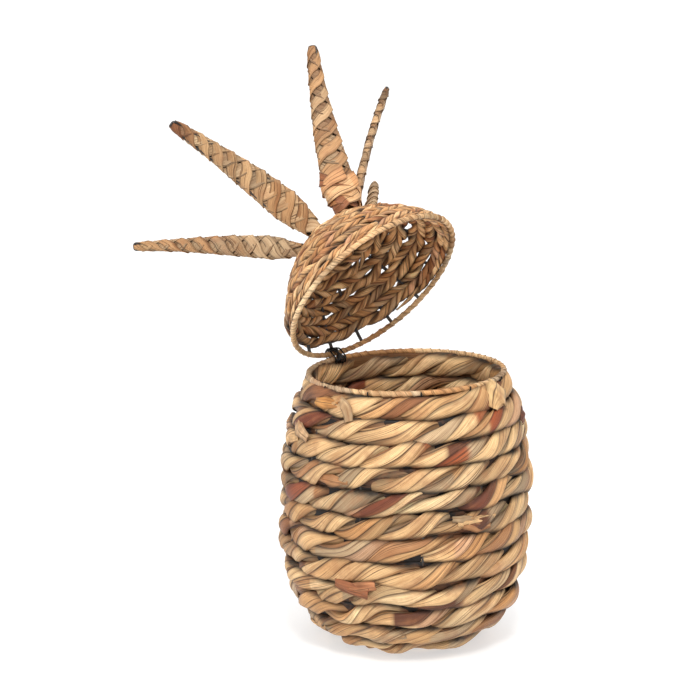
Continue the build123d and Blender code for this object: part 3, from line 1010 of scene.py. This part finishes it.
# %% The curve of a leaf
# Each leaf's azimuth, its lean at the root and at the tip, its twist, and its share of width.
LEAVES = [(225, 43, 52, 60, 0.75), (291, 32, 59, 12, 1.0), (24, 21, 34, -60, 1.0),
          (67, 42, 51, 0, 0.85), (107, 69, 46, 0, 1.0)]
LEAF_TWIST_END = 0.2
LEAF_L, LEAF_ROOT_R, LEAF_ROOT_H = 184 * MM, 28 * MM, 4.5 * MM
LEAF_AT = np.array([0.0, 0.03, 0.11, 0.2, 0.45, 0.72, 0.97, 1.0])
LEAF_WIDTHS = np.array([17.0, 20.0, 27.0, 32.0, 27.0, 18.0, 12.0, 11.0]) * MM
LEAF_THICK = np.array([9.0, 9.0, 9.5, 9.0, 8.5, 8.0, 7.5, 7.0]) * MM


def leaf_track(azimuth, root, tip, twist, narrow):
    """The leaf's curve: an arc in the plane of its azimuth, leaning from root to tip. Its width
    and face directions turn about its length, from none at the root to the whole twist. Also
    gives the wound body's half width and half thickness along it."""
    share = np.linspace(0, 1, 240)
    angle = np.radians(root + (tip - root) * share)
    bend = LEAF_L / np.radians(tip - root)
    out = LEAF_ROOT_R + bend * (np.cos(angle[0]) - np.cos(angle))
    high = CROWN_H + LEAF_ROOT_H + bend * (np.sin(angle) - np.sin(angle[0]))
    a = np.radians(azimuth)
    radial, side = np.array([np.cos(a), np.sin(a), 0.0]), np.array([-np.sin(a), np.cos(a), 0.0])
    up = np.array([0.0, 0.0, 1.0])
    points = out[:, None] * radial + high[:, None] * up
    face = np.cos(angle)[:, None] * radial - np.sin(angle)[:, None] * up
    turn = np.radians(twist) * np.minimum(1.0, share / LEAF_TWIST_END)[:, None]
    width = np.cos(turn) * side - np.sin(turn) * face
    thick = np.sin(turn) * side + np.cos(turn) * face
    # The tip is rounded off over its last few millimetres.
    rounding = np.sqrt(1 - np.clip((share - 0.955) / 0.046, 0, 1) ** 2 * 0.35)
    half_w = np.interp(share, LEAF_AT, LEAF_WIDTHS) / 2 * narrow * rounding
    half_n = np.interp(share, LEAF_AT, LEAF_THICK) / 2 * rounding
    return on_lid((points, width, thick)), share, half_w, half_n


print(len(LEAVES), "leaves,", LEAF_L, "m long")

# %% [markdown]
# Winding the leaves
#
# Each leaf takes two strips, one wound each way. The upper one is narrower and stands a little
# higher, so that the lower one shows as triangles between its passes. Two of the leaves end in
# a darker tip, where the strip is old.

# %% Leaf winding
PALE = np.array([linear(*rgb) for rgb in ((200, 172, 138), (188, 156, 120), (172, 146, 116),
                                          (178, 138, 98), (184, 150, 112), (146, 114, 84))])
PALE_SHARES = np.array([0.15, 0.25, 0.15, 0.15, 0.2, 0.1])
DARK_TIPS = {2: np.array([0.50, 0.34, 0.28]), 4: np.array([0.50, 0.46, 0.42])}
WINDINGS = ((1, 0.0, 0.0172), (-1, 0.0005, 0.0132))    # hand, how far it stands off, width
for number, leaf in enumerate(LEAVES, 1):
    rng = np.random.default_rng(700 + number)
    track, share, half_w, half_n = leaf_track(*leaf)
    grids = [wound_strip(rng, track, half_w - 0.7 * MM, half_n - 1.1 * MM, 0.004, 0.0182, width,
                         9.8, slope=0.0072, lift=0.0009, cross=9, per_turn=36, hand=hand,
                         leaves=5, square=0.7, base_lift=under, rag=0.05, palette=PALE,
                         chances=PALE_SHARES)
             for hand, under, width in WINDINGS]
    for grid, _, _, colour, *_ in grids:
        nearness = np.clip((np.linspace(0, 1, len(colour)) - 0.84) / 0.12, 0, 1)[:, None, None]
        colour *= 1 - nearness * (1 - DARK_TIPS.get(number, 1.0))
    woven(f"leaf_{number}_strip", "lid", grids, STRIP, [f"leaf_{number}_wrap"],
          STRIP_THICK)
print("strips to a leaf", len(WINDINGS))

# %% [markdown]
# Loose bindings at the leaves' feet
#
# Where a leaf meets the crown, wide ochre strips are wound loosely over its foot to hide the
# hooks. They are the same wound strip, wider than the leaf and with a long slant, so that their
# edges stand off.

# %% Foot bindings
OCHRE = np.array([linear(*rgb) for rgb in ((210, 158, 112), (192, 134, 88), (220, 178, 134),
                                           (150, 96, 62))])
OCHRE_SHARES = np.array([0.35, 0.25, 0.25, 0.15])
# Leaf, pitch, turns, and how much wider and thicker than the leaf the binding is, in mm.
FOOT_BINDINGS = ((3, 0.0125, 2.8, 3.4, 3.0), (4, 0.0110, 1.6, 1.0, 0.8),
                 (5, 0.0110, 1.6, 1.0, 0.8))
for number, pitch, turns, wide, thick in FOOT_BINDINGS:
    rng = np.random.default_rng(740 + number)
    track, share, half_w, half_n = leaf_track(*LEAVES[number - 1])
    fade = np.clip(1.3 - share / 0.24, 0.15, 1)
    grids = [wound_strip(rng, track, half_w + wide * MM * fade, half_n + thick * MM * fade,
                         0.006, pitch, 0.0135, turns, slope=0.0060, lift=0.0022, cross=9,
                         per_turn=40, hand=hand, leaves=6, square=0.75, base_lift=under, rag=0.2,
                         palette=OCHRE, chances=OCHRE_SHARES)
             for hand, under in ((1, 0.0), (-1, 0.0012))]
    woven(f"leaf_{number}_binding", "lid", grids, STRIP, [], STRIP_THICK)
print("foot bindings", len(FOOT_BINDINGS))

# %% [markdown]
# Lashing wire
#
# Thin black wire does the joining. A wire is a circle carried along a path; the frame that
# carries it is found from the path's own direction and one fixed side direction, which is
# enough for such short bends.

# %% The wire helper
TIE_R = 0.75 * MM
WIRE_COLOUR = np.array([0.02, 0.018, 0.017])


def wire(points, radius=TIE_R, closed=False, columns=8):
    """A round wire: the path plus radius times the cosine and sine along two directions, both
    square to the path."""
    if closed:
        ahead = np.roll(points, -1, 0) - np.roll(points, 1, 0)
    else:
        ahead = np.gradient(points, axis=0)
    ahead = ahead / np.linalg.norm(ahead, axis=1)[:, None]
    fixed = np.array([0.31, 0.47, 0.83])
    side = np.cross(ahead, fixed)
    side = side / np.linalg.norm(side, axis=1)[:, None]
    third = np.cross(ahead, side)
    psi = TURN * np.arange(columns) / columns
    grid = points[:, None] + radius * (np.cos(psi)[:, None] * side[:, None]
                                       + np.sin(psi)[:, None] * third[:, None])
    colour = np.broadcast_to(WIRE_COLOUR, (*grid.shape[:2], 3))
    along = np.arange(len(points) + 1) * 0.001
    return grid, points, (closed, True), colour, along, np.arange(columns + 1) * 0.0006


print("lashing wire", 2 * TIE_R, "m thick")

# %% [markdown]
# Hooks
#
# Small hooks hold the front ribs to the basket's rim, and more hold the leaves to the crown's
# ring. The rim's hooks are open at the top, where the shut lid rests on the rim.

# %% Hooks on the rim and at the crown
def hook(track, index, radius, gap=1.1, opening=np.pi / 2):
    """An open loop round the wire of a track, at one of its points. At angle a it lies radius
    times (sin a outward - cos a across) off, and it leaves a gap to each side of its opening."""
    point, across, outward = [part[index] for part in track]
    a = np.linspace(gap, TURN - gap, 22)[:, None] + opening
    return wire(point + radius * (np.cos(a) * across * -1 + np.sin(a) * outward * 0.98),
                columns=7)


rib_theta = RIB_START + TURN * np.arange(RIBS) / RIBS
rim_track = body_rim_place(hoop((RIM_R, 0.0), (0.0, 1.0), rib_theta))
front_ribs = [k for k in range(RIBS) if np.sin(rib_theta[k]) < -0.3]
woven("rim_hooks", "basket", [hook(rim_track, k, WRAP_R + 0.15 * MM, opening=np.pi)
                              for k in front_ribs], LASHING, [])
foot_theta = np.radians([leaf[0] + turn for leaf in LEAVES for turn in (-15, 15)])
foot_track = crown_place(hoop((CROWN_R, 0.0), (0.0, 1.0), foot_theta))
woven("crown_hooks", "lid", [hook(foot_track, k, CROWN_WRAP + 0.9 * MM)
                             for k in range(len(foot_theta))], LASHING, [])
print("hooks", len(front_ribs), "and", len(foot_theta))

# %% [markdown]
# The crossed lashing
#
# The hinge is no more than wire wound round both rims a few times, with some turns crossed over
# the others. Each turn is a closed loop here, and it rides with the lid.

# %% Crossed loops
def round_both_rims(reach, sign, spread, count=96):
    """A closed loop round both rims that slants from one side of the hinge to the other: a
    long oval in the plane square to the hinge, and a cosine along the hinge's axis."""
    a = TURN * np.arange(count) / count
    up = np.sin(a) * (reach + RIM_STACK / 2) * 1.02
    x = reach * np.sign(np.cos(a)) * np.abs(np.cos(a)) ** 0.55
    return (HINGE + LID_X * x[:, None] + LID_Z * (RIM_STACK / 2 + up)[:, None]
            + LID_Y * (sign * spread * np.sin(a))[:, None])


crossed = [wire(round_both_rims(reach * MM, sign, spread * MM), 0.95 * MM, closed=True)
           for sign, spread, reach in ((1, 6.0, 4.9), (-1, 6.0, 5.4), (1, 3.2, 5.0),
                                       (-1, 2.0, 5.8), (1, 0.8, 5.2))]
woven("hinge_crossed_lashing", "lid", crossed, LASHING, [])
print("crossed loops", len(crossed))

# %% [markdown]
# Loose leaf ends
#
# A hand-made weave is full of ends: a fold tucked over the rim, a loop that slipped, tips cut
# off with scissors. Each is a thin strip that leaves the wall, follows it for a few centimetres
# and lifts or curls. Its path is written on the wall itself, as a turn, a length along the wall
# and a distance off it.

# %% One loose end
OFF_WALL = 0.0078               # a loose end starts this far outside the row's middle line


def on_wall(turn, length, off):
    """Points off the wall: the row's circle at that length, moved outwards."""
    spots = [wall_track(one, np.array([TURN * where])) for where, one in zip(turn, length)]
    points, across, outward = [np.concatenate([spot[k] for spot in spots]) for k in range(3)]
    return points + outward * off[:, None], across, outward


def loose_end(rng, start, end, width, lift, curl, colour, bow=0.0, count=26, cross=7):
    """A strip from start to end, each a turn and a length: it rises by lift in the middle,
    bows along the wall, ends curl off it, and is as wide as width at three places."""
    u = np.linspace(0, 1, count)
    v = np.linspace(-1, 1, cross)
    turn = start[0] + (end[0] - start[0]) * u
    length = start[1] + (end[1] - start[1]) * u + bow * np.sin(np.pi * u)
    off = lift * np.sin(np.pi * np.minimum(u * 1.15, 1)) + curl * u ** 4 + OFF_WALL
    points, across, outward = on_wall(turn, length, off)
    ahead = np.gradient(points, axis=0)
    ahead = ahead / np.linalg.norm(ahead, axis=1)[:, None]
    side = np.cross(outward, ahead)
    side = side / np.linalg.norm(side, axis=1)[:, None]
    half = np.interp(u, (0, 0.5, 1), width) / 2
    ripple = 0.0006 * np.sin(5 * v + 9 * u[:, None] + rng.uniform(0, 6))
    cup = -0.0012 * v ** 2
    grid = points[:, None] + side[:, None] * (half[:, None] * v)[..., None] \
        + outward[:, None] * (ripple + cup)[..., None]
    tone = colour * (1 + 0.10 * wavy(rng, u, 1, 4, False))[:, None]
    shade = 1 - 0.35 * np.abs(v) ** 6
    colours = np.clip(tone, 0.01, 0.95)[:, None] * shade[None, :, None]
    run = np.r_[0, np.cumsum(np.linalg.norm(np.diff(points, axis=0), axis=1))]
    offset = rng.uniform(0, 5)
    return grid, points - outward * 0.01, (False, False), colours, run + offset, \
        v * 0.008 + offset


print("loose ends start", OFF_WALL, "m off the wall's line")

# %% [markdown]
# All the loose ends
#
# The large ones are listed one by one: the fold over the rim at the right, the loop and the flap
# below the rim at the left, and the cut ends low on the belly. A few small ones more are strewn
# by seeded chance, lying close to the rope, so that no side looks combed.

# %% Loose ends
rng = np.random.default_rng(820)
# Start, end, three widths, lift and curl in mm, colour, and bow.
ENDS_LIST = [
    ((0.913, TOP_EDGE + 4 * MM), (0.890, TOP_EDGE - 21 * MM), (0.036, 0.038, 0.012), 4.0, 0.5,
     linear(222, 188, 142), 0.0),
    ((0.645, TOP_EDGE - 2 * MM), (0.668, TOP_EDGE - 25 * MM), (0.008, 0.011, 0.010), 5, 3.0,
     linear(190, 162, 130), 6 * MM),
    ((0.592, TOP_EDGE - 11 * MM), (0.642, TOP_EDGE - 8 * MM), (0.008, 0.013, 0.008), 1.5, 0.5,
     linear(206, 152, 92), 0.0),
    ((0.655, 7.0 * PITCH), (0.702, 6.7 * PITCH), (0.010, 0.014, 0.012), 1.5, 3.0,
     linear(150, 92, 62), 0.0),
    ((0.668, 6.8 * PITCH), (0.712, 7.1 * PITCH), (0.008, 0.012, 0.009), 2.0, 3.5,
     linear(186, 128, 92), 0.0),
    ((0.560, 13.3 * PITCH), (0.600, 12.8 * PITCH), (0.012, 0.015, 0.008), 2.5, 1.0,
     linear(196, 164, 132), 0.0),
    ((0.985, 13.4 * PITCH), (0.955, 12.9 * PITCH), (0.012, 0.013, 0.006), 2.5, 2.0,
     linear(112, 68, 52), 0.0),
]
for k in range(9):
    turn, row = rng.random(), rng.integers(4, 13)
    tint = LEAF_COLOURS[rng.integers(2, 11)]
    ENDS_LIST.append(((turn, (row + 0.5 + rng.uniform(-0.3, 0.3)) * PITCH),
                      (turn + rng.uniform(0.03, 0.06),
                       (row + 0.5 + rng.uniform(-0.3, 0.5)) * PITCH),
                      (0.006, rng.uniform(0.008, 0.014), rng.uniform(0.004, 0.010)),
                      rng.uniform(0.2, 0.9), rng.uniform(0.0, 0.8), tint, 0.0))
ends = [loose_end(rng, a, b, w, lift * MM, curl * MM, colour, bow)
        for a, b, w, lift, curl, colour, bow in ENDS_LIST]
woven("loose_leaf_ends", "basket", ends, ROPE, [], STRIP_THICK)
print(len(ends), "loose ends")
